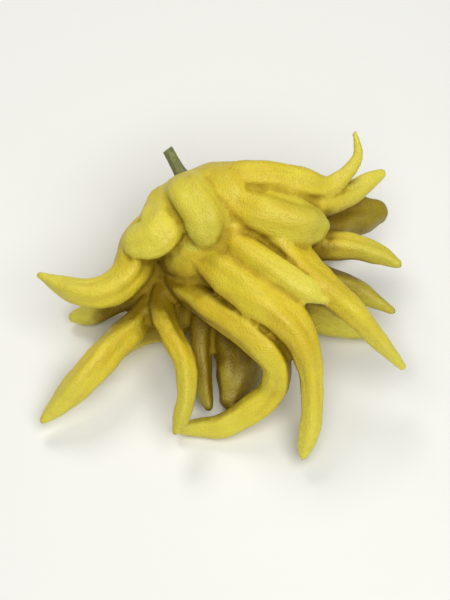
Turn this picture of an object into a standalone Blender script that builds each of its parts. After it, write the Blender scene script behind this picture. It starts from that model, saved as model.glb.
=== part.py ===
"""Buddha's hand citron (Citrus medica var. sarcodactylis), picked and lying on its side on a table.

The fruit is one solid: a palm with ribs that run forward from the stalk and part into fingers.
Two small pieces are its own: the five-lobed calyx on its base and the cut stalk.
The palm's axis lies along Y, the stalk pointing to +Y and the fingers to -Y; the table is Z = 0.
Lengths in the tables are millimetres, and become metres where a mesh is made.
"""

import math

import bmesh
import bpy
from mathutils import Matrix, Vector

MM = 0.001
ORIGIN = Vector((4.93, -19.79, 0.0))  # the point of the tables' space that becomes the object's origin

# The palm: an ellipsoid core under the ribs. X is its width, Y its length, Z its height.
PALM_CENTRE = Vector((6.0, 6.0, 34.4))
PALM_RADII = Vector((28.0, 23.0, 24.5))
STALK_AXIS = Vector((-0.50, 0.80, 0.30)).normalized()  # from the palm's centre, in shares of its radii
STALK_POLE = PALM_CENTRE + STALK_AXIS * PALM_RADII
RIB_STOPS = ((0.2, 0.56), (0.5, 0.84), (0.8, 1.0))  # (share of the way to the finger, share of its radius)
CORE_SHARE = 1.05  # the core stands this much out between the ribs, whose middles lie on the ellipsoid
# The dome under the calyx: (distance past the pole along the stalk, radius).
NECK = ((-12.0, 19.0), (-6.0, 17.6), (-2.5, 14.6), (0.0, 11.2), (2.0, 8.0), (4.0, 4.8))

# Section of a finger: a rounded five-sided outline, its ridges running along the finger.
SECTION_POINTS = 15
SECTION_RIDGES = ((3, 0.07, 0.4), (5, 0.06, 1.7))  # (ridges, height, phase) as shares of the radius
STEP = 2.5  # spacing of a finger's sections
TIP_STOPS = ((0.5, 0.87), (0.85, 0.53), (0.98, 0.2))  # how a tip rounds off, in shares of its radius
VOXEL = 1.0
SMOOTH_STEPS = 3
COARSE_SHARE = 0.065  # the share of the fused faces that is kept
WELD = 1e-6  # metres; points closer than this are one

# Each finger's own points (x, y, z, radius). An outer finger first runs over the palm as a rib, from the
# stalk's pole to its first point; an inner one starts inside the palm and comes out of the hollow.
# The low ones reach a little below the table, which flattens the spots that the fruit rests on.
OUTER_FINGERS = {
    "knuckle_left": ((-18.5, -2.5, 51, 9.2), (-22, -5, 49.5, 8.2), (-26.5, -5.5, 48, 6.8)),
    "knuckle_middle": ((-1, 1.5, 56.5, 10.2), (-0.5, -1.5, 55, 9.8)),
    "knuckle_right": ((12, 8, 56, 8.6), (21.5, 3, 55, 10.2), (31.5, 0.5, 52.5, 10.4), (38, 1.5, 49, 9.0)),
    "fork_upper": ((16, 17, 58.5, 8.0), (32, 17, 55.5, 7.4), (43, 17, 51.5, 5.8), (50, 20, 52, 3.8),
                   (58, 27, 58, 2.3), (57, 34, 65, 1.2)),
    "fork_lower": ((40, 14, 47, 7.0), (54, 19, 44, 5.0), (62, 24, 45, 3.8), (68, 28, 45, 2.2)),
    "shaded_right": ((42, 13, 30, 9.0), (55, 19, 27, 8.0), (62, 21, 25.5, 7.4), (66.5, 22.5, 25, 5.4)),
    "side_right": ((42, 0, 38, 6.4), (55, -2.5, 40, 5.3), (66, -6, 40, 4.2), (73.5, -10, 39.5, 2.1)),
    "long_right": ((33.5, -13, 46.5, 7.6), (43.5, -24, 47, 6.5), (55.5, -32.5, 42, 5.1),
                   (66, -39.5, 31, 3.6), (75.5, -45, 20, 1.6)),
    "mid_right": ((40, -8, 28, 7.0), (57, -13, 25, 4.8), (72, -22, 23.5, 1.6)),
    "low_right": ((30, -10, 15, 8.0), (46, -16, 7, 6.4), (58, -19, 4.8, 4.8), (66, -22, 4.5, 2.2)),
    "back_right": ((30, 18, 14, 7.6), (43, 22, 5.8, 6.2), (52, 23, 5, 3.4)),
    "back_left": ((-15, 13, 13, 7.6), (-25, 13, 5.8, 6.2), (-31, 11, 5, 3.6)),
    "heel": ((5, 6, 8.5, 9.2), (8, -6, 8.4, 8.8)),
    "low_middle": ((6, -16, 13, 9.5), (11, -33, 10, 9.2), (10.5, -43, 8.4, 8.0), (8.5, -51, 6.3, 5.0)),
    "low_front": ((-14, -16, 12, 9.0), (-28, -21, 7, 6.8), (-38, -29, 5, 5.2), (-45, -35, 4.8, 2.4)),
    "low_left": ((-28, -6, 19, 8.4), (-40, -10, 11, 6.6), (-48, -13, 5.4, 5.0), (-54, -14, 4.8, 2.4)),
    "horn": ((-27, -1, 40, 8.2), (-31, -12, 36, 7.4), (-38, -18.5, 34.5, 6.8), (-48, -20, 34, 5.8),
             (-57.5, -16.5, 33.5, 4.0), (-66, -11.5, 33.5, 1.4)),
}
INNER_FINGERS = {
    "short_over": ((7, -2, 46, 7.0), (13.5, -11, 51, 6.5), (25.5, -21, 52, 6.0), (36.5, -28, 51, 4.8),
                   (44, -31, 48.5, 2.4)),
    "long_front": ((-2, 2, 40, 8.0), (4, -12.5, 44, 8.2), (18, -28, 47, 8.6), (31.5, -39, 43.5, 7.4),
                   (38, -49, 35, 5.6), (40, -59, 24, 4.4), (39.5, -69, 15, 4.2), (37.5, -75, 9.5, 3.2),
                   (36.5, -78, 8, 1.6)),
    "hook": ((-8, 2, 24, 7.0), (-10.5, -10.5, 26, 6.4), (3, -27, 34.5, 6.8), (17, -40.5, 37.5, 6.7),
             (26, -49.5, 31, 5.9), (25, -54.5, 19, 5.6), (16, -59.5, 11, 5.5), (5, -63, 4.8, 4.8),
             (-4, -63, 3.8, 3.8), (-12, -64.5, 4.6, 1.8)),
    "thin_front": ((-10, 2, 20, 6.0), (-18.5, -18, 22, 5.0), (-15, -32.5, 25, 4.7), (-9.5, -45.5, 25.5, 4.4),
                   (-8.5, -57.5, 23, 3.9), (-10.5, -66.5, 18, 3.3), (-12.5, -71, 16, 1.6)),
    "left_down": ((-10, 2, 16, 7.0), (-24.5, -19.5, 17.5, 5.8), (-36, -34, 19.5, 6.1), (-47, -47, 17.5, 6.3),
                  (-57, -56, 11.5, 4.6), (-64.5, -62, 7.5, 1.7)),
    "inner_middle": ((0, -10, 20, 6.0), (-3, -28, 17, 4.7), (-2.5, -40, 12, 3.8), (-1.5, -49.5, 8.5, 3.4),
                     (0, -55.5, 6.5, 1.9)),
}

# Calyx and stalk, measured along the stalk from the pole.
SEAT = 3.4  # the flat end of the neck
GAP = 0.3  # clearance between two pieces
CALYX_RADIUS = 5.2
CALYX_LOBES = 5
LOBE_HEIGHT = 0.9
CALYX_POINTS = 40
CALYX_THICKNESS = 1.6
CALYX_ROUNDING = 0.5
SEAT_CUT_RADIUS = 12.0
SEAT_CUT_DEPTH = 14.0
STALK_SIDES = 20
STALK_STEP = 1.0
SHARP = math.radians(40)  # edges that turn more than this are shaded sharp
STALK = ((0.0, 0.0, 3.1), (1.6, 0.0, 2.5), (6.0, 0.3, 2.2), (11.5, 0.9, 2.1))  # (along, sideways, radius)

TABLE_SIZE = 400.0
TABLE_DEPTH = 20.0

PEEL = {"colour": (0.74, 0.57, 0.065), "roughness": 0.45}
CALYX_SKIN = {"colour": (0.24, 0.27, 0.09), "roughness": 0.7}
STALK_BARK = {"colour": (0.17, 0.19, 0.07), "roughness": 0.75}


def rib_points(root):
    """Where a finger's rib lies on the palm, from the stalk's pole round towards the finger's first point."""
    from_centre = Vector(root[:3]) - PALM_CENTRE
    towards_root = Vector(from_centre[i] / PALM_RADII[i] for i in range(3)).normalized()
    points = []
    for share, radius_share in RIB_STOPS:
        out = STALK_AXIS.slerp(towards_root, share)
        points.append((*(PALM_CENTRE + out * PALM_RADII), radius_share * root[3]))
    return points


def smooth_path(points, step):
    """Points about a step apart on a Catmull-Rom curve through (x, y, z, radius) points."""
    knots = [Vector(p) for p in points]
    knots = [2 * knots[0] - knots[1], *knots, 2 * knots[-1] - knots[-2]]
    path = []
    for before, start, end, after in zip(knots, knots[1:], knots[2:], knots[3:]):
        count = max(1, round((end.xyz - start.xyz).length / step))
        for i in range(count):
            t = i / count
            path.append(0.5 * (2 * start + (end - before) * t
                               + (2 * before - 5 * start + 4 * end - after) * t ** 2
                               + (3 * start - before - 3 * end + after) * t ** 3))
    path.append(knots[-2])
    return path


def finger_path(points):
    """A finger's smooth path, rounded off past its last point."""
    path = smooth_path(points, STEP)
    last = path[-1]
    ahead = (last.xyz - path[-2].xyz).normalized()
    for along, share in TIP_STOPS:
        path.append(Vector((*(last.xyz + ahead * last.w * along), last.w * share)))
    return path


def outline_curve(name, radii):
    """A closed flat curve round its origin, through points at even turns with these radii."""
    curve = bpy.data.curves.new(name, "CURVE")
    curve.dimensions = "2D"
    spline = curve.splines.new("POLY")
    spline.points.add(len(radii) - 1)
    for i, (point, radius) in enumerate(zip(spline.points, radii)):
        turn = 2 * math.pi * i / len(radii)
        point.co = (radius * math.cos(turn) * MM, radius * math.sin(turn) * MM, 0, 1)
    spline.use_cyclic_u = True
    return curve


def section_outline():
    """The outline that is swept along each finger, of unit radius."""
    turns = [2 * math.pi * i / SECTION_POINTS for i in range(SECTION_POINTS)]
    radii = [1 + sum(h * math.cos(n * turn + phase) for n, h, phase in SECTION_RIDGES) for turn in turns]
    return bpy.data.objects.new("finger_section", outline_curve("finger_section", radii))


def swept(name, path, section):
    """A section swept along a path, swelling and tapering with the path's radius, its ends closed."""
    curve = bpy.data.curves.new(name, "CURVE")
    curve.dimensions = "3D"
    curve.bevel_mode = "OBJECT"
    curve.bevel_object = section
    curve.use_fill_caps = True
    spline = curve.splines.new("POLY")
    spline.points.add(len(path) - 1)
    for point, place in zip(spline.points, path):
        point.co = (*(place.xyz * MM), 1)
        point.radius = place.w
    return bpy.data.objects.new(name, curve)


def mesh_of(obj):
    """The evaluated mesh of an object that isn't kept, such as a curve, with its caps welded on."""
    bpy.context.scene.collection.objects.link(obj)
    bpy.context.view_layer.update()
    evaluated = obj.evaluated_get(bpy.context.evaluated_depsgraph_get())
    mesh = bpy.data.meshes.new_from_object(evaluated)
    bpy.data.objects.remove(obj)
    bm = bmesh.new()
    bm.from_mesh(mesh)
    bmesh.ops.remove_doubles(bm, verts=bm.verts, dist=WELD)
    bmesh.ops.recalc_face_normals(bm, faces=bm.faces)
    bm.to_mesh(mesh)
    bm.free()
    return mesh


def palm_core():
    """The ellipsoid that fills the palm behind its ribs."""
    bm = bmesh.new()
    core = Matrix.LocRotScale(PALM_CENTRE * MM, None, PALM_RADII * CORE_SHARE * MM)
    bmesh.ops.create_uvsphere(bm, u_segments=32, v_segments=20, radius=1, matrix=core)
    mesh = bpy.data.meshes.new("palm_core")
    bm.to_mesh(mesh)
    bm.free()
    return mesh


def joined(name, meshes):
    """One mesh that holds the faces of all of them."""
    bm = bmesh.new()
    for mesh in meshes:
        bm.from_mesh(mesh)
        bpy.data.meshes.remove(mesh)
    whole = bpy.data.meshes.new(name)
    bm.to_mesh(whole)
    bm.free()
    return whole


def material(name, colour, roughness):
    skin = bpy.data.materials.new(name)
    skin.use_nodes = True
    principled = skin.node_tree.nodes["Principled BSDF"]
    principled.inputs["Base Color"].default_value = (*colour, 1)
    principled.inputs["Roughness"].default_value = roughness
    principled.inputs["Metallic"].default_value = 0
    return skin


def node(name, mesh, collection, skin):
    """A named piece of the object, standing where the table's space puts it."""
    obj = bpy.data.objects.new(name, mesh)
    obj.location = -ORIGIN * MM
    mesh.materials.append(skin)
    collection.objects.link(obj)
    return obj


def cutter(name, mesh, collection):
    """A shape that only cuts others, and is neither rendered nor part of the object."""
    obj = bpy.data.objects.new(name, mesh)
    obj.location = -ORIGIN * MM
    obj.hide_render = True
    obj.display_type = "WIRE"
    collection.objects.link(obj)
    return obj


def on_stalk(along):
    """The frame of a point on the stalk's axis, its Z pointing out of the fruit."""
    turned = STALK_AXIS.to_track_quat("Z", "X")
    return Matrix.LocRotScale((STALK_POLE + STALK_AXIS * along) * MM, turned, None)


def seat_cutter(collection):
    """What cuts the neck off flat, for the calyx to sit on."""
    bm = bmesh.new()
    depth = SEAT_CUT_DEPTH * MM
    middle = on_stalk(SEAT) @ Matrix.Translation((0, 0, depth / 2))
    radius = SEAT_CUT_RADIUS * MM
    bmesh.ops.create_cone(bm, cap_ends=True, segments=48, radius1=radius, radius2=radius, depth=depth,
                          matrix=middle)
    mesh = bpy.data.meshes.new("seat_cutter")
    bm.to_mesh(mesh)
    bm.free()
    return cutter("seat_cutter", mesh, collection)


def table_cutter(collection):
    """The table, which cuts off what would reach below it."""
    bm = bmesh.new()
    size = Vector((TABLE_SIZE, TABLE_SIZE, TABLE_DEPTH)) * MM
    middle = Vector((0, 0, -TABLE_DEPTH / 2)) * MM
    bmesh.ops.create_cube(bm, size=1, matrix=Matrix.LocRotScale(middle, None, size))
    mesh = bpy.data.meshes.new("table_cutter")
    bm.to_mesh(mesh)
    bm.free()
    return cutter("table_cutter", mesh, collection)


def fruit(collection, cutters):
    section = section_outline()
    neck = [Vector((*(STALK_POLE + STALK_AXIS * along), radius)) for along, radius in NECK]
    parts = [palm_core(), mesh_of(swept("neck", smooth_path(neck, STEP), section))]
    for name, points in OUTER_FINGERS.items():
        parts.append(mesh_of(swept(name, finger_path([*rib_points(points[0]), *points]), section)))
    for name, points in INNER_FINGERS.items():
        parts.append(mesh_of(swept(name, finger_path(points), section)))
    bpy.data.objects.remove(section)
    obj = node("fruit", joined("fruit", parts), collection, material("peel", **PEEL))
    fuse = obj.modifiers.new("fuse", "REMESH")
    fuse.mode = "VOXEL"
    fuse.voxel_size = VOXEL * MM
    fuse.use_smooth_shade = True
    soften = obj.modifiers.new("soften", "SMOOTH")
    soften.factor = 0.5
    soften.iterations = SMOOTH_STEPS
    coarsen = obj.modifiers.new("coarsen", "DECIMATE")
    coarsen.ratio = COARSE_SHARE
    for tool in (table_cutter(cutters), seat_cutter(cutters)):
        cut = obj.modifiers.new(tool.name, "BOOLEAN")
        cut.solver = "EXACT"
        cut.operation = "DIFFERENCE"
        cut.object = tool


def calyx(collection):
    """The five-lobed green disc that the fruit hung from, with a rounded edge."""
    turns = [2 * math.pi * i / CALYX_POINTS for i in range(CALYX_POINTS)]
    radii = [CALYX_RADIUS + LOBE_HEIGHT * math.cos(CALYX_LOBES * turn) - CALYX_ROUNDING for turn in turns]
    curve = outline_curve("calyx", radii)
    curve.fill_mode = "BOTH"
    curve.extrude = (CALYX_THICKNESS / 2 - CALYX_ROUNDING) * MM
    curve.bevel_depth = CALYX_ROUNDING * MM
    curve.bevel_resolution = 1
    mesh = mesh_of(bpy.data.objects.new("calyx", curve))
    mesh.transform(on_stalk(SEAT + GAP + CALYX_THICKNESS / 2))
    mesh.shade_smooth()
    mesh.set_sharp_from_angle(angle=SHARP)
    node("calyx", mesh, collection, material("calyx_skin", **CALYX_SKIN))


def stalk(collection):
    """The stub of the stalk, flaring where it meets the calyx and cut off at its other end."""
    section = bpy.data.objects.new("stalk_section", outline_curve("stalk_section", [1.0] * STALK_SIDES))
    frame = on_stalk(SEAT + 2 * GAP + CALYX_THICKNESS)
    path = []
    for place in smooth_path([(sideways, 0, along, radius) for along, sideways, radius in STALK], STALK_STEP):
        path.append(Vector((*(frame @ (place.xyz * MM) / MM), place.w)))
    mesh = mesh_of(swept("stalk", path, section))
    bpy.data.objects.remove(section)
    mesh.shade_smooth()
    mesh.set_sharp_from_angle(angle=SHARP)
    node("stalk", mesh, collection, material("stalk_bark", **STALK_BARK))


def main():
    for obj in list(bpy.data.objects):
        bpy.data.objects.remove(obj)
    collection = bpy.data.collections.new("buddhas_hand_citron")
    cutters = bpy.data.collections.new("cutters")
    bpy.context.scene.collection.children.link(collection)
    bpy.context.scene.collection.children.link(cutters)
    fruit(collection, cutters)
    calyx(collection)
    stalk(collection)


main()
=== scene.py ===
"""Buddha's hand citron, picked and lying on its side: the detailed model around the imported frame.

The frame's fruit, calyx and stalk are each replaced by a finer piece of the same shape and size. Lengths
are in millimetres, apart from those of the stage and of the finishes' noise and relief, which are in
metres.
"""

import math

import bmesh
import bpy
import numpy as np
from mathutils import Matrix, Vector, noise
from mathutils.bvhtree import BVHTree
from mathutils.kdtree import KDTree


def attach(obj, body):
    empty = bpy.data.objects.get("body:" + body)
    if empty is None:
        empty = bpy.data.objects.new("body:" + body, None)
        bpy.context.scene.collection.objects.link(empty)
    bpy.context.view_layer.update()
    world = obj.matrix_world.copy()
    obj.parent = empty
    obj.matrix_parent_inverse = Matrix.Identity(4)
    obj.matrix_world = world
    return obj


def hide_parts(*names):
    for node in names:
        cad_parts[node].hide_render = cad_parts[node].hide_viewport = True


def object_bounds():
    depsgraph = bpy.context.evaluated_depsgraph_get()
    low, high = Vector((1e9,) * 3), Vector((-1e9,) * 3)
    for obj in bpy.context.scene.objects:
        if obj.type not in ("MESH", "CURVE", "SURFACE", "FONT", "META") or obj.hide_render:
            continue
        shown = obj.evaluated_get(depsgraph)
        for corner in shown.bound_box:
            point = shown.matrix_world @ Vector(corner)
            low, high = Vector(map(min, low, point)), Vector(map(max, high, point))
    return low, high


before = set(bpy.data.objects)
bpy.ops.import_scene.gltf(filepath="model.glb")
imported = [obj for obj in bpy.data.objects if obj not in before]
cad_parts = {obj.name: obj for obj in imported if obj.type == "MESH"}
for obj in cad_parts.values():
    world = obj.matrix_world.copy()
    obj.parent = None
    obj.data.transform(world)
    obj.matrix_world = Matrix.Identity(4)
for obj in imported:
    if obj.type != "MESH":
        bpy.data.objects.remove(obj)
CAD_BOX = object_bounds()

MM = 0.001
ORIGIN = np.array((4.93, -19.79, 0.0))  # the point of the tables' space that is the object's origin

# ---- The palm and its fingers: the same tables as the CAD's ----

PALM_CENTRE = np.array((6.0, 6.0, 34.4))
PALM_RADII = np.array((28.0, 23.0, 24.5))
STALK_AXIS = np.array((-0.50, 0.80, 0.30)) / math.sqrt(0.98)
STALK_POLE = PALM_CENTRE + STALK_AXIS * PALM_RADII
RIB_STOPS = ((0.2, 0.56), (0.5, 0.84), (0.8, 1.0))  # (share of the way to the finger, share of its radius)
TIP_STOPS = ((0.5, 0.87), (0.85, 0.53), (0.98, 0.2))  # (radii past the last point, share of its radius)
CORE_SHARE = 1.05  # the core stands this much out between the ribs, whose middles lie on the ellipsoid
# The dome under the calyx: (distance past the pole along the stalk, radius).
NECK = ((-12.0, 19.0), (-6.0, 17.6), (-2.5, 14.6), (0.0, 11.2), (2.0, 8.0), (4.0, 4.8))
SEAT = 3.4  # how far past the pole the dome is cut flat for the calyx

# Each finger's points: (x, y, z, radius). An outer finger has a rib over the palm, from the stalk to its
# first point; an inner one starts inside the palm.
OUTER_FINGERS = {
    "knuckle_left": ((-18.5, -2.5, 51, 9.2), (-22, -5, 49.5, 8.2), (-26.5, -5.5, 48, 6.8)),
    "knuckle_middle": ((-1, 1.5, 56.5, 10.2), (-0.5, -1.5, 55, 9.8)),
    "knuckle_right": ((12, 8, 56, 8.6), (21.5, 3, 55, 10.2), (31.5, 0.5, 52.5, 10.4),
                      (38, 1.5, 49, 9.0)),
    "fork_upper": ((16, 17, 58.5, 8.0), (32, 17, 55.5, 7.4), (43, 17, 51.5, 5.8), (50, 20, 52, 3.8),
                   (58, 27, 58, 2.3), (57, 34, 65, 1.2)),
    "fork_lower": ((40, 14, 47, 7.0), (54, 19, 44, 5.0), (62, 24, 45, 3.8), (68, 28, 45, 2.2)),
    "shaded_right": ((42, 13, 30, 9.0), (55, 19, 27, 8.0), (62, 21, 25.5, 7.4), (66.5, 22.5, 25, 5.4)),
    "side_right": ((42, 0, 38, 6.4), (55, -2.5, 40, 5.3), (66, -6, 40, 4.2), (73.5, -10, 39.5, 2.1)),
    "long_right": ((33.5, -13, 46.5, 7.6), (43.5, -24, 47, 6.5), (55.5, -32.5, 42, 5.1),
                   (66, -39.5, 31, 3.6), (75.5, -45, 20, 1.6)),
    "mid_right": ((40, -8, 28, 7.0), (57, -13, 25, 4.8), (72, -22, 23.5, 1.6)),
    "low_right": ((30, -10, 15, 8.0), (46, -16, 7, 6.4), (58, -19, 4.8, 4.8), (66, -22, 4.5, 2.2)),
    "back_right": ((30, 18, 14, 7.6), (43, 22, 5.8, 6.2), (52, 23, 5, 3.4)),
    "back_left": ((-15, 13, 13, 7.6), (-25, 13, 5.8, 6.2), (-31, 11, 5, 3.6)),
    "heel": ((5, 6, 8.5, 9.2), (8, -6, 8.4, 8.8)),
    "low_middle": ((6, -16, 13, 9.5), (11, -33, 10, 9.2), (10.5, -43, 8.4, 8.0), (8.5, -51, 6.3, 5.0)),
    "low_front": ((-14, -16, 12, 9.0), (-28, -21, 7, 6.8), (-38, -29, 5, 5.2), (-45, -35, 4.8, 2.4)),
    "low_left": ((-28, -6, 19, 8.4), (-40, -10, 11, 6.6), (-48, -13, 5.4, 5.0), (-54, -14, 4.8, 2.4)),
    "horn": ((-27, -1, 40, 8.2), (-31, -12, 36, 7.4), (-38, -18.5, 34.5, 6.8), (-48, -20, 34, 5.8),
             (-57.5, -16.5, 33.5, 4.0), (-66, -11.5, 33.5, 1.4)),
}
INNER_FINGERS = {
    "short_over": ((7, -2, 46, 7.0), (13.5, -11, 51, 6.5), (25.5, -21, 52, 6.0), (36.5, -28, 51, 4.8),
                   (44, -31, 48.5, 2.4)),
    "long_front": ((-2, 2, 40, 8.0), (4, -12.5, 44, 8.2), (18, -28, 47, 8.6), (31.5, -39, 43.5, 7.4),
                   (38, -49, 35, 5.6), (40, -59, 24, 4.4), (39.5, -69, 15, 4.2), (37.5, -75, 9.5, 3.2),
                   (36.5, -78, 8, 1.6)),
    "hook": ((-8, 2, 24, 7.0), (-10.5, -10.5, 26, 6.4), (3, -27, 34.5, 6.8), (17, -40.5, 37.5, 6.7),
             (26, -49.5, 31, 5.9), (25, -54.5, 19, 5.6), (16, -59.5, 11, 5.5), (5, -63, 4.8, 4.8),
             (-4, -63, 3.8, 3.8), (-12, -64.5, 4.6, 1.8)),
    "thin_front": ((-10, 2, 20, 6.0), (-18.5, -18, 22, 5.0), (-15, -32.5, 25, 4.7),
                   (-9.5, -45.5, 25.5, 4.4), (-8.5, -57.5, 23, 3.9), (-10.5, -66.5, 18, 3.3),
                   (-12.5, -71, 16, 1.6)),
    "left_down": ((-10, 2, 16, 7.0), (-24.5, -19.5, 17.5, 5.8), (-36, -34, 19.5, 6.1),
                  (-47, -47, 17.5, 6.3), (-57, -56, 11.5, 4.6), (-64.5, -62, 7.5, 1.7)),
    "inner_middle": ((0, -10, 20, 6.0), (-3, -28, 17, 4.7), (-2.5, -40, 12, 3.8), (-1.5, -49.5, 8.5, 3.4),
                     (0, -55.5, 6.5, 1.9)),
}

# ---- The fruit ----

RING_STEP = 0.9  # spacing of the rings of a finger
RING_SIDES = 48
TIP_POINT = 0.1  # the tip's last vertex is this share of the last ring's step past it
CORE_SIDES = 64
CORE_RINGS = 40

# A finger's relief, in shares of its radius. Ridges run along it: (how many, height, phase, twist in
# turns per millimetre). Swellings follow each other along it, and are stronger on one side.
RIDGES = ((3, 0.07, 0.4, 0.002), (5, 0.06, 1.7, -0.001), (8, 0.02, 0.9, 0.003))
SWELL = 0.035
SWELL_LENGTH = 15.0
SWELL_ONE_SIDED = 0.4
SWELL_SHIFT = 2.3  # radians by which one finger's swellings start after the last one's
NECK_RELIEF = 0.3  # how much of the relief the dome has
GRAIN_SHIFT = 40.0  # keeps each finger's grain apart from the last one's

VOXEL = 0.86  # of the remesh that fuses the fingers
SMOOTH_SHARE = 0.5  # how far a smoothing step takes a vertex to the mean of its neighbours
SMOOTH_STEPS = 3
DOME_STEPS = 40  # smoothing steps that melt the ribs together round the stalk
DOME_FADE = (14.0, 32.0)  # and how far from it that fades out
CREASE_REACH = 12  # smoothing steps that find the creases between fused fingers
CREASE_MOST = 0.5  # a crease is made twice as deep, but at most this much deeper

# The skin is lumpy, (size, height), and has fine wrinkles along each finger. Both are weaker at a tip.
LUMPS = ((6.5, 0.26), (2.9, 0.13))
WRINKLE_SIZE = 2.3
WRINKLE_HEIGHT = 0.17
WRINKLE_STRETCH = np.array((1.0, 1.0, 7.0))  # a wrinkle is this much longer along the finger
WRINKLE_SEED = 3
TIP_CALM = (0.5, 9.0)  # distances from the tip between which the relief grows to its full height
TIP_RELIEF = 0.35  # the share of it that the tip has
NOISE_SHIFT = (17.3, 7.9, 29.1)  # keeps the noises of different seeds apart

# Smoothing steps that blur what is worked out for each vertex.
BLUR = {"from_tip": 2, "tone": 14, "relief": 1, "crease": 1, "hollow_shade": 3}
CREASE_LOOK_REACH = 14  # smoothing steps that find the creases that the peel colours
SHADE_RAYS = 20  # rays from each vertex that tell how enclosed it is
SHADE_REACH = 32.0
SHADE_LIFT = 0.4  # how far over the skin they start
# Painted shade: some fingers, mostly those that lie under others, are painted darker as if in shade:
# how much darker, and between which distances from the tip it fades out.
PAINTED_SHADE_FINGERS = {"shaded_right": 1.0, "low_middle": 0.7, "inner_middle": 0.7, "mid_right": 0.5,
         "side_right": 0.34, "thin_front": 0.32, "knuckle_middle": 0.28, "knuckle_right": 0.26}
PAINTED_SHADE_FADE = (12.0, 42.0)


def smoothstep(low, high, value):
    """How far a value, or an array of them, is between low and high, from 0 to 1 with soft ends."""
    t = np.clip((value - low) / (high - low), 0, 1)
    return t * t * (3 - 2 * t)


def smooth_path(points, step):
    """Points about a step apart on a Catmull-Rom curve through (x, y, z, radius) points."""
    knots = [np.array(p, float) for p in points]
    knots = [2 * knots[0] - knots[1], *knots, 2 * knots[-1] - knots[-2]]
    path = []
    for before, start, end, after in zip(knots, knots[1:], knots[2:], knots[3:]):
        count = max(1, round(float(np.linalg.norm(end[:3] - start[:3])) / step))
        for i in range(count):
            t = i / count
            path.append(0.5 * (2 * start + (end - before) * t
                               + (2 * before - 5 * start + 4 * end - after) * t ** 2
                               + (3 * start - before - 3 * end + after) * t ** 3))
    path.append(knots[-2])
    return path


def rib_points(root):
    """Where a finger's rib lies on the palm, from the stalk's pole round to the finger's first point."""
    towards = (np.array(root[:3]) - PALM_CENTRE) / PALM_RADII
    towards /= np.linalg.norm(towards)
    angle = math.acos(float(STALK_AXIS @ towards))
    points = []
    for share, radius_share in RIB_STOPS:
        out = math.sin((1 - share) * angle) * STALK_AXIS + math.sin(share * angle) * towards
        out = out / math.sin(angle)
        points.append((*(PALM_CENTRE + out * PALM_RADII), radius_share * root[3]))
    return points


def finger_path(points):
    """A finger's path in rings, rounded off past its last point."""
    path = smooth_path(points, RING_STEP)
    last = path[-1]
    ahead = last[:3] - path[-2][:3]
    ahead /= np.linalg.norm(ahead)
    for along, share in TIP_STOPS:
        path.append(np.array((*(last[:3] + ahead * last[3] * along), last[3] * share)))
    return np.array(path)


def ring_frames(centres):
    """Two directions across the path at each of its points, turning as little as can be."""
    ahead = np.gradient(centres, axis=0)
    ahead /= np.linalg.norm(ahead, axis=1, keepdims=True)
    side = np.cross(ahead[0], (0.0, 0.0, 1.0))
    if np.linalg.norm(side) < 0.1:  # the path starts almost upright
        side = np.cross(ahead[0], (1.0, 0.0, 0.0))
    sides = []
    for direction in ahead:
        side = side - direction * (side @ direction)
        side /= np.linalg.norm(side)
        sides.append(side)
    sides = np.array(sides)
    return sides, np.cross(ahead, sides)


class Tube:
    """A finger's surface before the fingers are fused: its vertices and faces, and for each vertex its
    distance from the tip, its painted shade, and its place in the finger's grain."""

    def __init__(self, points, seed, relief=1.0, tone=0.0):
        path = finger_path(points)
        centres, radii = path[:, :3], path[:, 3]
        steps = np.linalg.norm(np.diff(centres, axis=0), axis=1)
        along = np.concatenate(([0.0], np.cumsum(steps)))
        turn = np.linspace(0, 2 * math.pi, RING_SIDES, endpoint=False)
        along, turn = np.meshgrid(along, turn, indexing="ij")
        self.place_vertices(centres, radii[:, None] * self.relief_share(along, turn, seed, relief), turn)
        self.make_faces(len(path))
        self.from_tip = np.linalg.norm(self.verts - self.verts[self.tip], axis=1)
        # painted shade, full near the tip and gone further from it
        self.tone = tone * (1 - smoothstep(*PAINTED_SHADE_FADE, self.from_tip))
        grain = np.stack((np.cos(turn) * radii[:, None], np.sin(turn) * radii[:, None], along), axis=-1)
        self.grain = np.concatenate((grain.reshape(-1, 3), ((0, 0, 0), (0, 0, along[-1, 0]))))
        self.grain[:, 0] += GRAIN_SHIFT * seed

    @staticmethod
    def relief_share(along, turn, seed, relief):
        """What the finger's radius is multiplied by, for its ridges and swellings."""
        share = np.ones_like(along)
        for count, height, phase, twist in RIDGES:
            spin = 2 * math.pi * twist * count * along
            share += relief * height * np.cos(count * turn + phase + seed + spin)
        swelling = relief * SWELL * np.sin(2 * math.pi * along / SWELL_LENGTH + SWELL_SHIFT * seed)
        return share + swelling * (1 - SWELL_ONE_SIDED + SWELL_ONE_SIDED * np.cos(turn + seed))

    def place_vertices(self, centres, radius, turn):
        """The vertices of the rings, then those that close the root and the tip."""
        across, up = ring_frames(centres)
        ring = np.cos(turn)[..., None] * across[:, None] + np.sin(turn)[..., None] * up[:, None]
        points = centres[:, None] + ring * radius[..., None]
        ends = np.array((centres[0], centres[-1] + (centres[-1] - centres[-2]) * TIP_POINT))
        self.verts = np.concatenate((points.reshape(-1, 3), ends))

    def make_faces(self, rings):
        """The quads between the rings, and the triangles that close the root and the tip."""
        root = rings * RING_SIDES
        self.tip = root + 1
        index = np.arange(root).reshape(rings, RING_SIDES)
        after = np.roll(index, -1, axis=1)
        self.quads = np.stack((index[:-1], after[:-1], after[1:], index[1:]), axis=-1).reshape(-1, 4)
        self.tris = [(root, int(b), int(a)) for a, b in zip(index[0], after[0])]
        self.tris += [(self.tip, int(a), int(b)) for a, b in zip(index[-1], after[-1])]


def finger_tubes():
    """A tube for every finger, with its rib over the palm if it is an outer one."""
    paths = {name: [*rib_points(points[0]), *points] for name, points in OUTER_FINGERS.items()}
    paths.update(INNER_FINGERS)
    return [Tube(path, seed, tone=PAINTED_SHADE_FINGERS.get(name, 0.0)) for seed, (name, path) in enumerate(paths.items())]


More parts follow.
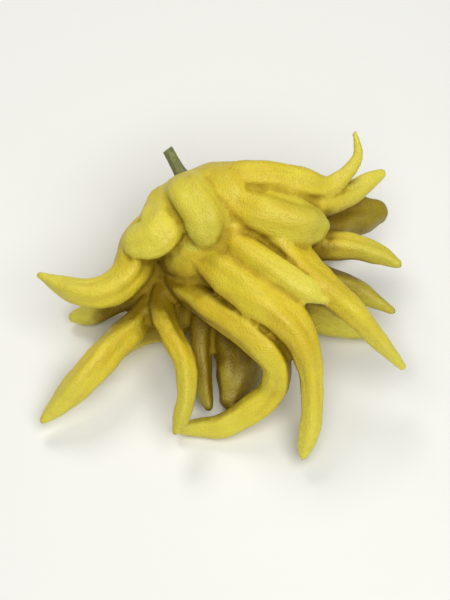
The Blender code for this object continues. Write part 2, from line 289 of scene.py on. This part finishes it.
def palm_core():
    """The ellipsoid that fills the palm behind its ribs, as vertices and faces."""
    bm = bmesh.new()
    bmesh.ops.create_uvsphere(bm, u_segments=CORE_SIDES, v_segments=CORE_RINGS, radius=1)
    verts = np.array([tuple(v.co) for v in bm.verts]) * PALM_RADII * CORE_SHARE + PALM_CENTRE
    faces = [tuple(v.index for v in f.verts) for f in bm.faces]
    bm.free()
    return verts, faces


def fused_fruit(tubes):
    """The fingers and the palm as one skin: its vertices and quads."""
    verts, faces = palm_core()
    verts = [verts]
    start = len(verts[0])
    for tube in tubes:
        verts.append(tube.verts)
        faces += [tuple(q) for q in (tube.quads + start).tolist()]
        faces += [(a + start, b + start, c + start) for a, b, c in tube.tris]
        start += len(tube.verts)
    mesh = bpy.data.meshes.new("loose_fingers")
    mesh.from_pydata(np.concatenate(verts).tolist(), [], faces)
    loose = bpy.data.objects.new("loose_fingers", mesh)
    bpy.context.scene.collection.objects.link(loose)
    fuse = loose.modifiers.new("fuse", "REMESH")
    fuse.mode = "VOXEL"
    fuse.voxel_size = VOXEL
    fused = loose.evaluated_get(bpy.context.evaluated_depsgraph_get())
    skin = bpy.data.meshes.new_from_object(fused)
    co = np.empty(len(skin.vertices) * 3)
    skin.vertices.foreach_get("co", co)
    quads = [tuple(p.vertices) for p in skin.polygons]
    bpy.data.objects.remove(loose)
    bpy.data.meshes.remove(mesh)
    bpy.data.meshes.remove(skin)
    return co.reshape(-1, 3), quads


class Skin:
    """A closed surface whose vertices can be smoothed and pushed along their normals."""

    def __init__(self, verts, quads):
        self.co = verts
        self.quads = np.array(quads)
        edges = np.concatenate([self.quads[:, (i, (i + 1) % 4)] for i in range(4)])
        self.edges = np.unique(np.sort(edges, axis=1), axis=0)
        self.degree = np.bincount(self.edges.ravel(), minlength=len(verts)).astype(float)

    def averaged(self, values):
        """The mean of a value over each vertex's neighbours."""
        a, b = self.edges.T
        count = len(self.co)
        columns = values.reshape(count, -1).T
        total = [np.bincount(a, c[b], count) + np.bincount(b, c[a], count) for c in columns]
        return (np.array(total) / self.degree).T.reshape(values.shape)

    def smoothed(self, values, steps):
        """A value at each vertex after smoothing steps, such as its place."""
        for _ in range(steps):
            values = values + SMOOTH_SHARE * (self.averaged(values) - values)
        return values

    def normals(self):
        """Each vertex's outward direction."""
        corners = self.co[self.quads]
        faces = np.cross(corners[:, 2] - corners[:, 0], corners[:, 3] - corners[:, 1])
        vertex = self.quads.ravel()
        total = [np.bincount(vertex, np.repeat(column, 4), len(self.co)) for column in faces.T]
        total = np.array(total).T
        return total / np.maximum(np.linalg.norm(total, axis=1, keepdims=True), 1e-9)

    def push(self, distance):
        """Move each vertex out by a distance of its own."""
        self.co = self.co + self.normals() * distance[:, None]

    def hollowness(self, steps):
        """How far each vertex lies below the mean of its surroundings."""
        return np.einsum("ij,ij->i", self.smoothed(self.co, steps) - self.co, self.normals())


def enclosure(skin):
    """The share of the open space over each vertex that the fruit itself closes off, nearby."""
    tree = BVHTree.FromPolygons(skin.co.tolist(), skin.quads.tolist())
    turns = np.arange(SHADE_RAYS) * math.pi * (3 - math.sqrt(5))
    heights = (np.arange(SHADE_RAYS) + 0.5) / SHADE_RAYS
    across = np.sqrt(heights)
    rays = np.stack((across * np.cos(turns), across * np.sin(turns), np.sqrt(1 - heights)), axis=1)
    closed = np.zeros(len(skin.co))
    for i, (point, normal) in enumerate(zip(skin.co, skin.normals())):
        turned = Vector(normal).to_track_quat("Z", "X").to_matrix()
        start = Vector(point + normal * SHADE_LIFT)
        directions = rays @ np.array(turned).T
        hits = sum(tree.ray_cast(start, Vector(way), SHADE_REACH)[0] is not None for way in directions)
        closed[i] = hits / SHADE_RAYS
    return closed


def noise_at(points, size, seed):
    """Smooth noise between about -1 and 1, its lumps about size across."""
    shift = Vector([seed * step for step in NOISE_SHIFT])
    return np.array([noise.noise(Vector(p) + shift) for p in (points / size)])


def finger_fields(skin, tubes):
    """Each skin vertex's distance from its finger's tip, its painted shade and its grain, read from the
    tubes.
    """
    places = KDTree(sum(len(tube.verts) for tube in tubes))
    for i, point in enumerate(np.concatenate([tube.verts for tube in tubes])):
        places.insert(point, i)
    places.balance()
    nearest = np.array([places.find(point)[1] for point in skin.co])
    from_tip = skin.smoothed(np.concatenate([tube.from_tip for tube in tubes])[nearest], BLUR["from_tip"])
    tone = skin.smoothed(np.concatenate([tube.tone for tube in tubes])[nearest], BLUR["tone"])
    grain = np.concatenate([tube.grain for tube in tubes])[nearest]
    return from_tip, tone, grain


def skin_relief(skin, from_tip, grain):
    """The height of the lumps and wrinkles at each vertex."""
    height = sum(high * noise_at(skin.co, size, seed) for seed, (size, high) in enumerate(LUMPS, 1))
    height = height + WRINKLE_HEIGHT * noise_at(grain / WRINKLE_STRETCH, WRINKLE_SIZE, WRINKLE_SEED)
    height = height * (TIP_RELIEF + (1 - TIP_RELIEF) * smoothstep(*TIP_CALM, from_tip))
    return skin.smoothed(height, BLUR["relief"])


def settle(skin):
    """Flatten the neck's end under the calyx and what bears on the table, and keep to the CAD's box."""
    past = (skin.co - STALK_POLE) @ STALK_AXIS - SEAT
    skin.co = skin.co - np.maximum(past, 0)[:, None] * STALK_AXIS
    skin.co[:, 2] = np.maximum(skin.co[:, 2], 0.0)
    skin.co = np.clip(skin.co, *(np.array(corner) / MM + ORIGIN for corner in CAD_BOX))


def attribute(mesh, name, values):
    """Give each vertex a number, or a vector, that a finish can read."""
    values = np.asarray(values, dtype=np.float32)
    kind = "FLOAT" if values.ndim == 1 else "FLOAT_VECTOR"
    field = mesh.attributes.new(name, kind, "POINT")
    field.data.foreach_set("value" if values.ndim == 1 else "vector", values.ravel())


def make_fruit():
    """The palm and its fingers as one piece."""
    tubes = finger_tubes()
    neck = [(*(STALK_POLE + STALK_AXIS * along), radius) for along, radius in NECK]
    skin = Skin(*fused_fruit([*tubes, Tube(neck, 0, relief=NECK_RELIEF)]))
    skin.co = skin.smoothed(skin.co, SMOOTH_STEPS)

    # Round the stalk the ribs melt into a dome. Further out the creases between them are cut deeper.
    from_stalk = np.linalg.norm(skin.co - (STALK_POLE + STALK_AXIS * SEAT), axis=1)
    dome = 1 - smoothstep(*DOME_FADE, from_stalk)
    skin.co = skin.co + (skin.smoothed(skin.co, DOME_STEPS) - skin.co) * dome[:, None]
    skin.push(-np.clip(skin.hollowness(CREASE_REACH), 0, CREASE_MOST) * (1 - dome))

    from_tip, tone, grain = finger_fields(skin, tubes)
    skin.push(skin_relief(skin, from_tip, grain))
    settle(skin)

    mesh = bpy.data.meshes.new("citron_fruit")
    mesh.from_pydata(((skin.co - ORIGIN) * MM).tolist(), [], skin.quads.tolist())
    mesh.shade_smooth()
    fields = {
        "from_tip": from_tip,
        "from_stalk": from_stalk,
        "crease": skin.smoothed(skin.hollowness(CREASE_LOOK_REACH), BLUR["crease"]),
        # how closed off each vertex is, which the peel paints as shade in hollows
        "hollow_shade": skin.smoothed(enclosure(skin), BLUR["hollow_shade"]),
        # the painted shade of the fingers that lie under others
        "tone": tone,
        "grain": grain,
    }
    for name, values in fields.items():
        attribute(mesh, name, values)
    return bpy.data.objects.new("citron_fruit", mesh)


# ---- The calyx and the stalk, both made upright about their own Z axis ----

CALYX_BASE = SEAT + 0.1  # where the calyx's heights start, along the stalk's axis from the pole
CALYX_SIDES = 140
CALYX_RINGS = 16
CALYX_RING_POWER = 0.8  # under 1 brings the rings closer together towards the rim
CALYX_LOBES = 5
CALYX_BETWEEN_LOBES = 3.9  # radius of the outline between two lobes
CALYX_LOBE = 2.2  # how much further out a lobe reaches
CALYX_LOBE_POWER = 1.1
CALYX_UNEVEN = ((0.14, 2, 1.0), (0.07, 9, 0.0))  # the outline's unevenness: (height, how many, phase)
CALYX_EDGE = 0.35  # height of the upper side at the rim
CALYX_EDGE_BULGE = 1.02  # between its two sides the edge reaches this share of the rim's radius,
CALYX_EDGE_MIDDLE = 0.45  # at this share of the rim's height
CALYX_CROWN = 0.25  # how much higher the middle is than the rim, apart from the collar
CALYX_COLLAR = 1.45  # height of the collar that holds the stalk
CALYX_COLLAR_SLOPE = (0.42, 0.75)  # shares of the rim's radius between which it falls away
CALYX_RIB = 0.08  # height of the rib along each lobe
CALYX_WRINKLE = (0.05, 31, 5)  # (height, how many, twist)
CALYX_DROOP = 0.35  # how far a lobe's end hangs down
CALYX_DROOP_SLOPE = (0.55, 1.0)
CALYX_UNDERSIDE = -0.1  # height of the lower side before its lobes droop

STALK = ((0.0, 0.0, 3.1), (1.6, 0.0, 2.5), (6.0, 0.3, 2.2), (11.5, 0.9, 2.1))  # (along, sideways, radius)
STALK_BASE = 5.0  # where the stalk starts, along its axis from the pole
STALK_STEP = 0.35  # spacing of its rings
STALK_SIDES = 72
STALK_RIDGES = ((0.045, 6, 0.0, 0.5), (0.022, 11, 0.12, 2.0))  # (height, how many, twist, phase)
STALK_BUMP = 0.05  # height of the bark's bumps, in shares of the radius as the ridges' are
STALK_BUMP_SCALE = (1.6, 0.45)  # of the bumps' noise: across the stalk, and along it
CUT_SLANT = 0.16  # how much the cut end rises for each millimetre across
CUT_SLANT_FADE = (9.5, 11.5)  # where along the stalk its rings take that slant on
# The cut end, from its edge in: (share of the radius, height over the last ring of bark).
CUT_RINGS = ((0.97, 0.07), (0.9, 0.05), (0.86, -0.03), (0.7, -0.05), (0.45, -0.03), (0.28, -0.09),
             (0.12, -0.17))
CUT_MIDDLE = -0.2  # height of its middle
SHARP_ANGLE = math.radians(55)  # edges that turn more than this are shaded sharp


def stalk_frame(along):
    """The frame of a point on the stalk's axis, in metres, its Z pointing out of the fruit."""
    place = (STALK_POLE + STALK_AXIS * along - ORIGIN) * MM
    return Matrix.LocRotScale(Vector(place), Vector(STALK_AXIS).to_track_quat("Z", "X"), None)


def bridge(bm, inner, outer):
    """Join two rings of vertices with quads."""
    corners = zip(inner, inner[1:] + inner[:1], outer[1:] + outer[:1], outer)
    return [bm.faces.new(quad) for quad in corners]


def fan(bm, middle, ring):
    """Close a ring of vertices with triangles round a middle one."""
    return [bm.faces.new((middle, a, b)) for a, b in zip(ring, ring[1:] + ring[:1])]


def finished_mesh(bm, name, along):
    """The mesh of an upright bmesh, set at a point of the stalk's axis."""
    bmesh.ops.recalc_face_normals(bm, faces=bm.faces)
    mesh = bpy.data.meshes.new(name)
    bm.to_mesh(mesh)
    bm.free()
    mesh.transform(stalk_frame(along) @ Matrix.Scale(MM, 4))
    mesh.shade_smooth()
    return mesh


def lobe_share(turn):
    """1 at the middle of a lobe of the calyx and 0 between two of them."""
    return math.cos(CALYX_LOBES * turn / 2) ** 2


def calyx_rim(turn):
    """Radius of the calyx's outline, its five lobes a little unequal."""
    uneven = sum(height * math.sin(count * turn + phase) for height, count, phase in CALYX_UNEVEN)
    return CALYX_BETWEEN_LOBES + CALYX_LOBE * lobe_share(turn) ** CALYX_LOBE_POWER + uneven


def calyx_top(share, turn):
    """Height of the calyx's upper side before its lobes droop, from its middle, share 0, to its rim, 1."""
    collar = CALYX_COLLAR * (1 - smoothstep(*CALYX_COLLAR_SLOPE, share))
    rib = CALYX_RIB * math.cos(CALYX_LOBES * turn) * share
    height, count, twist = CALYX_WRINKLE
    wrinkle = height * math.sin(count * turn + twist * share) * share
    return float(CALYX_EDGE + collar + CALYX_CROWN * (1 - share) + rib + wrinkle)


def make_calyx():
    """The five-lobed disc between the fruit and its stalk."""
    bm = bmesh.new()
    field = bm.verts.layers.float.new("rim_share")
    turns = [2 * math.pi * i / CALYX_SIDES for i in range(CALYX_SIDES)]
    shares = [(i / CALYX_RINGS) ** CALYX_RING_POWER for i in range(1, CALYX_RINGS + 1)]

    def ring(share, heights):
        verts = []
        for turn, height in zip(turns, heights):
            reach = calyx_rim(turn) * share
            droop = CALYX_DROOP * smoothstep(*CALYX_DROOP_SLOPE, share) * lobe_share(turn)
            vert = bm.verts.new((reach * math.cos(turn), reach * math.sin(turn), height - droop))
            vert[field] = share
            verts.append(vert)
        return verts

    rings = [ring(share, [calyx_top(share, turn) for turn in turns]) for share in shares]
    rings.append(ring(CALYX_EDGE_BULGE, [CALYX_EDGE * CALYX_EDGE_MIDDLE] * CALYX_SIDES))
    rings += [ring(share, [CALYX_UNDERSIDE] * CALYX_SIDES) for share in reversed(shares)]
    for inner, outer in zip(rings, rings[1:]):
        bridge(bm, inner, outer)
    fan(bm, bm.verts.new((0, 0, calyx_top(0.0, 0.0))), rings[0])
    fan(bm, bm.verts.new((0, 0, CALYX_UNDERSIDE)), rings[-1])
    return bpy.data.objects.new("citron_calyx", finished_mesh(bm, "citron_calyx", CALYX_BASE))


def bark_share(turn, along):
    """What the stalk's radius is multiplied by, for its ridges and bumps."""
    ridges = sum(height * math.cos(count * turn + twist * along + phase)
                 for height, count, twist, phase in STALK_RIDGES)
    wide, long = STALK_BUMP_SCALE
    place = Vector((math.cos(turn) * wide, math.sin(turn) * wide, along * long))
    return 1 + ridges + STALK_BUMP * noise.noise(place)


def make_stalk():
    """The stub of the stalk: ridged bark, and the cut end with its wood and pith."""
    path = np.array(smooth_path([(side, 0, along, radius) for along, side, radius in STALK], STALK_STEP))
    across, up = ring_frames(path[:, :3])
    bm = bmesh.new()
    radial = bm.verts.layers.float.new("radial")

    def ring(centre, a, b, radius, share, slant):
        verts = []
        for i in range(STALK_SIDES):
            turn = 2 * math.pi * i / STALK_SIDES
            reach = radius * share * bark_share(turn, centre[2])
            place = centre + a * math.cos(turn) * reach + b * math.sin(turn) * reach
            vert = bm.verts.new(place + slant * reach * math.cos(turn) * np.cross(a, b))
            vert[radial] = share
            verts.append(vert)
        return verts

    bark_rings = []
    for point, a, b in zip(path, across, up):
        slant = CUT_SLANT * smoothstep(*CUT_SLANT_FADE, point[2])
        bark_rings.append(ring(point[:3], a, b, point[3], 1.0, slant))
    end, a, b = path[-1], across[-1], up[-1]
    ahead = np.cross(a, b)
    cut_rings = []
    for share, rise in CUT_RINGS:
        cut_rings.append(ring(end[:3] + ahead * rise, a, b, end[3], share, CUT_SLANT))
    for inner, outer in zip(bark_rings, [*bark_rings[1:], cut_rings[0]]):
        bridge(bm, inner, outer)
    cut_faces = fan(bm, bm.verts.new(end[:3] + ahead * CUT_MIDDLE), cut_rings[-1])
    for inner, outer in zip(cut_rings, cut_rings[1:]):
        cut_faces += bridge(bm, inner, outer)
    for face in cut_faces:
        face.material_index = 1
    fan(bm, bm.verts.new(path[0][:3]), bark_rings[0])
    mesh = finished_mesh(bm, "citron_stalk", STALK_BASE)
    mesh.set_sharp_from_angle(angle=SHARP_ANGLE)
    return bpy.data.objects.new("citron_stalk", mesh)


# ---- The finishes. Noise and cells are sized in lumps a metre, and the streaks in lumps a millimetre ----

PEEL = {
    "deep": (0.69, 0.515, 0.026),
    "light": (0.755, 0.632, 0.040),
    "dull": (0.58, 0.500, 0.040),
    "streak": (0.60, 0.39, 0.022),
    "gland": (0.46, 0.33, 0.012),
    "tip": (0.77, 0.735, 0.10),
    # The next three are painted shade: on fingers that lie under others, in hollows, and in creases.
    "tone": (0.25, 0.175, 0.004),
    "hollow_shade": (0.20, 0.115, 0.001),
    "crease": (0.39, 0.250, 0.006),
    "by_stalk": (0.38, 0.41, 0.04),
    "fleck": (0.34, 0.20, 0.05),
    "scar": (0.10, 0.055, 0.018),
}
GLANDS = 1150.0  # oil glands a metre
STREAK_STRETCH = (1.0, 1.0, 0.12)  # the streaks are stretched along each finger
CALYX_COLOURS = {"dark": (0.15, 0.19, 0.045), "light": (0.27, 0.30, 0.09), "dry": (0.30, 0.235, 0.07)}
BARK = {"dark": (0.13, 0.16, 0.045), "light": (0.23, 0.24, 0.08), "brown": (0.22, 0.15, 0.07),
        "pore": (0.42, 0.36, 0.20)}
WOOD = {"pale": (0.60, 0.50, 0.27), "bast": (0.30, 0.33, 0.10), "pith": (0.42, 0.30, 0.14),
        "dark": (0.36, 0.25, 0.11)}
FLOOR = {"dark": (0.86, 0.855, 0.84), "light": (0.89, 0.885, 0.87)}


class Paint:
    """A material's node tree, with short ways to add the nodes that the finishes below use."""

    def __init__(self, name, **settings):
        self.material = bpy.data.materials.new(name)
        self.material.use_nodes = True
        self.tree = self.material.node_tree
        self.shader = self.tree.nodes["Principled BSDF"]
        for socket, value in settings.items():
            self.shader.inputs[socket.replace("_", " ")].default_value = value
        self.place = self.add("ShaderNodeTexCoord").outputs["Object"]

    def add(self, kind, inputs=(), **settings):
        """A new node, each of its inputs set to a value or linked to a socket."""
        node = self.tree.nodes.new(kind)
        for key, value in settings.items():
            setattr(node, key, value)
        for socket, value in dict(inputs).items():
            if isinstance(value, bpy.types.NodeSocket):
                self.tree.links.new(value, node.inputs[socket])
            else:
                node.inputs[socket].default_value = value
        return node

    def attribute(self, name, output="Fac"):
        """What attribute() stored at each vertex."""
        return self.add("ShaderNodeAttribute", attribute_name=name).outputs[output]

    def noise(self, scale, detail=3.0, roughness=0.55, vector=None):
        """Noise from 0 to 1."""
        inputs = {"Vector": vector or self.place, "Scale": scale, "Detail": detail, "Roughness": roughness}
        return self.add("ShaderNodeTexNoise", inputs).outputs["Fac"]

    def cells(self, scale):
        """Distance from the middle of the nearest of many small cells."""
        return self.add("ShaderNodeTexVoronoi", {"Vector": self.place, "Scale": scale}).outputs["Distance"]

    def span(self, value, low, high, to_low=0.0, to_high=1.0):
        """A value between low and high taken smoothly to between to_low and to_high."""
        inputs = {"Value": value, "From Min": low, "From Max": high, "To Min": to_low, "To Max": to_high}
        return self.add("ShaderNodeMapRange", inputs, interpolation_type="SMOOTHSTEP").outputs["Result"]

    def maths(self, operation, a, b):
        return self.add("ShaderNodeMath", {0: a, 1: b}, operation=operation).outputs[0]

    def times(self, a, b):
        return self.maths("MULTIPLY", a, b)

    def plus(self, a, b):
        return self.maths("ADD", a, b)

    def mixed(self, share, a, b):
        """Colour a, with a share of colour b. Each is a tuple or a socket."""
        a, b = (c if isinstance(c, bpy.types.NodeSocket) else (*c, 1.0) for c in (a, b))
        return self.add("ShaderNodeMix", {"Factor": share, 6: a, 7: b}, data_type="RGBA").outputs[2]

    def layered(self, colour, *layers):
        """A colour with others laid over it in turn: (share, colour)."""
        for share, over in layers:
            colour = self.mixed(share, colour, over)
        return colour

    def bump(self, height, distance, strength=1.0, under=None):
        """Relief of a height times a distance in metres, over the relief under it."""
        inputs = {"Height": height, "Distance": distance, "Strength": strength}
        if under is not None:
            inputs["Normal"] = under
        return self.add("ShaderNodeBump", inputs).outputs["Normal"]

    def finish(self, **sockets):
        """Link the shader's inputs, and give the material."""
        for socket, value in sockets.items():
            self.tree.links.new(value, self.shader.inputs[socket.replace("_", " ")])
        return self.material


def peel_colour(p, cells, scar):
    """The rind's yellow in soft patches, and over it all that changes it."""
    grain = p.add("ShaderNodeMapping", {"Vector": p.attribute("grain", "Vector"), "Scale": STREAK_STRETCH})
    streaks = p.noise(0.42, 3.0, 0.6, grain.outputs["Vector"])
    from_stalk = p.attribute("from_stalk")
    shade_clear_of_stalk = p.span(from_stalk, 12.0, 32.0, 0.15, 1.0)  # the painted shade of recesses and creases is weaker round the stalk
    specks = p.span(cells, 0.05, 0.32, 1.0, 0.0)
    flecks = p.span(p.plus(p.noise(210.0, 5.0, 0.75), p.times(p.noise(18.0), 0.35)), 0.86, 0.96)
    by_stalk = p.span(from_stalk, 5.0, 20.0, 0.55, 0.0)
    yellow = p.mixed(p.span(p.noise(34.0), 0.35, 0.65), PEEL["deep"], PEEL["light"])
    return p.layered(
        yellow,
        (p.span(p.noise(110.0, 2.0), 0.5, 0.75, 0.0, 0.35), PEEL["dull"]),
        (p.span(streaks, 0.42, 0.72, 0.0, 0.50), PEEL["streak"]),
        (p.times(specks, 0.30), PEEL["gland"]),
        (p.span(p.attribute("from_tip"), 2.0, 40.0, 0.60, 0.0), PEEL["tip"]),
        # painted shade on the fingers that lie under others
        (p.span(p.attribute("tone"), 0.0, 1.0, 0.0, 0.88), PEEL["tone"]),
        # painted shade in the hollows that the fruit closes off
        (p.times(p.span(p.attribute("hollow_shade"), 0.16, 0.56, 0.0, 0.90), shade_clear_of_stalk), PEEL["hollow_shade"]),
        # painted shade in the creases
        (p.times(p.span(p.attribute("crease"), 0.03, 0.40, 0.0, 0.70), shade_clear_of_stalk), PEEL["crease"]),
        (p.times(by_stalk, p.span(p.noise(90.0), 0.3, 0.6)), PEEL["by_stalk"]),
        (p.times(flecks, 0.5), PEEL["fleck"]),
        (p.times(scar, 0.85), PEEL["scar"]),
    )


def peel():
    """Waxy lemon rind: oil glands, streaks along the fingers, painted shade in the creases, in the hollows
    and on the fingers that lie under others, pale fingertips with a dry scar at their end, and green round
    the stalk."""
    p = Paint("citron_peel", Subsurface_Weight=0.08, Subsurface_Radius=(1.0, 0.55, 0.12),
              Subsurface_Scale=0.002, Specular_IOR_Level=0.38)
    cells = p.cells(GLANDS)
    scar = p.span(p.plus(p.attribute("from_tip"), p.noise(900.0)), 1.1, 1.9, 1.0, 0.0)
    dull = p.plus(p.times(scar, 0.3), p.span(p.attribute("crease"), 0.0, 0.3, 0.0, 0.35))
    roughness = p.plus(p.span(p.noise(260.0), 0.3, 0.7, 0.36, 0.50), dull)
    pits = p.span(cells, 0.08, 0.60, 1.0, 0.0)
    relief = p.bump(p.noise(2600.0, 2.0), 0.00004)
    relief = p.bump(p.maths("SUBTRACT", 1.0, pits), 0.00016, 0.9, relief)
    relief = p.bump(p.noise(430.0, 2.0), 0.00018, 1.0, relief)
    return p.finish(Base_Color=peel_colour(p, cells, scar), Roughness=roughness, Normal=relief)


def calyx_skin():
    """Dry green calyx, browned at its rim."""
    p = Paint("citron_calyx_skin", Roughness=0.72)
    green = p.mixed(p.span(p.noise(700.0), 0.35, 0.65), CALYX_COLOURS["dark"], CALYX_COLOURS["light"])
    dry = p.span(p.noise(400.0), 0.3, 0.6, 0.35, 1.0)
    dry = p.times(p.span(p.attribute("rim_share"), 0.55, 1.0), dry)
    relief = p.bump(p.noise(2400.0, 4.0), 0.0001)
    relief = p.bump(p.noise(800.0), 0.0003, 0.8, relief)
    return p.finish(Base_Color=p.mixed(dry, green, CALYX_COLOURS["dry"]), Normal=relief)


def bark():
    """Green-brown bark of a young twig, with pale lenticels."""
    p = Paint("citron_stalk_bark", Roughness=0.7)
    pores = p.span(p.cells(900.0), 0.10, 0.22, 1.0, 0.0)
    colour = p.layered(
        p.mixed(p.span(p.noise(500.0), 0.35, 0.65), BARK["dark"], BARK["light"]),
        (p.span(p.noise(170.0), 0.5, 0.7, 0.0, 0.7), BARK["brown"]),
        (p.times(pores, 0.7), BARK["pore"]),
    )
    relief = p.bump(p.noise(1800.0, 4.0), 0.00012)
    return p.finish(Base_Color=colour, Normal=p.bump(pores, 0.0002, 0.8, relief))


def cut_wood():
    """The cut face: green bast, pale wood, and a darker pith."""
    p = Paint("citron_cut_wood", Roughness=0.8)
    radial = p.plus(p.attribute("radial"), p.span(p.noise(1500.0), 0.3, 0.7, -0.04, 0.04))
    colour = p.layered(
        p.mixed(p.span(radial, 0.80, 0.92), WOOD["pale"], WOOD["bast"]),
        (p.span(radial, 0.20, 0.34, 0.8, 0.0), WOOD["pith"]),
        (p.span(p.noise(2500.0), 0.4, 0.7, 0.0, 0.35), WOOD["dark"]),
    )
    return p.finish(Base_Color=colour, Normal=p.bump(p.noise(3000.0, 4.0), 0.00015))


def floor_finish():
    """A plain pale floor."""
    p = Paint("pale_floor", Roughness=0.65)
    return p.finish(Base_Color=p.mixed(p.noise(6.0), FLOOR["dark"], FLOOR["light"]))


# ---- The stage ----

LOOK_AT = Vector((0.0015, -0.0010, 0.030))
ELEVATION = math.radians(60)
LENS = 150.0
SENSOR = 36.0
VIEW_HEIGHT = 0.234  # height of the picture where the camera looks
CLIP_START = 0.01
FLOOR_REACH = 3  # from the middle to each side
WORLD_STRENGTH = 0.12


def keep(piece, node, slot_name, *finishes):
    """Put a finished piece in the scene in place of its CAD node."""
    bpy.context.scene.collection.objects.link(piece)
    for finish in finishes:
        piece.data.materials.append(finish)
    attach(piece, "root")
    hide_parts(node)


def place_facing(name, data, place, ahead):
    """Put a light or a camera in the scene, looking ahead."""
    holder = bpy.data.objects.new(name, data)
    holder.location = place
    holder.rotation_mode = "QUATERNION"
    holder.rotation_quaternion = ahead.to_track_quat("-Z", "Y")
    bpy.context.scene.collection.objects.link(holder)
    return holder


def area_light(name, place, size, power, colour):
    """A soft square light aimed at the fruit."""
    light = bpy.data.lights.new(name, "AREA")
    light.size = size
    light.energy = power
    light.color = colour
    place_facing(name, light, place, LOOK_AT - Vector(place))


def set_floor():
    """The floor that the fruit lies on."""
    corners = [(-1, -1), (1, -1), (1, 1), (-1, 1)]
    mesh = bpy.data.meshes.new("floor")
    mesh.from_pydata([(x * FLOOR_REACH, y * FLOOR_REACH, 0) for x, y in corners], [], [(0, 1, 2, 3)])
    mesh.materials.append(floor_finish())
    floor = bpy.data.objects.new("floor", mesh)
    bpy.context.scene.collection.objects.link(floor)


def set_lights():
    """A large soft light over the front of the fruit, a small one behind it, and faint white all round."""
    area_light("key", (0.20, -0.42, 1.00), size=1.0, power=12.0, colour=(0.99, 1.0, 0.96))
    area_light("back", (-0.25, 0.70, 0.90), size=0.4, power=4.0, colour=(1.0, 0.98, 0.94))
    world = bpy.data.worlds.new("studio")
    world.use_nodes = True
    backdrop = world.node_tree.nodes["Background"]
    backdrop.inputs["Color"].default_value = (1.0, 1.0, 1.0, 1.0)
    backdrop.inputs["Strength"].default_value = WORLD_STRENGTH
    bpy.context.scene.world = world


def set_camera():
    """The camera at the photo's viewing angle, from the fingers' side and looking down, and its colours."""
    camera = bpy.data.cameras.new("camera")
    camera.lens = LENS
    camera.sensor_width = SENSOR
    camera.clip_start = CLIP_START
    back = Vector((0.0, -math.cos(ELEVATION), math.sin(ELEVATION)))
    place = LOOK_AT + back * VIEW_HEIGHT * LENS / SENSOR
    bpy.context.scene.camera = place_facing("camera", camera, place, -back)
    bpy.context.scene.view_settings.view_transform = "Standard"


keep(make_fruit(), "fruit", "peel", peel())
keep(make_calyx(), "calyx", "calyx_skin", calyx_skin())
keep(make_stalk(), "stalk", "stalk_bark", bark(), cut_wood())
set_floor()
set_lights()
set_camera()
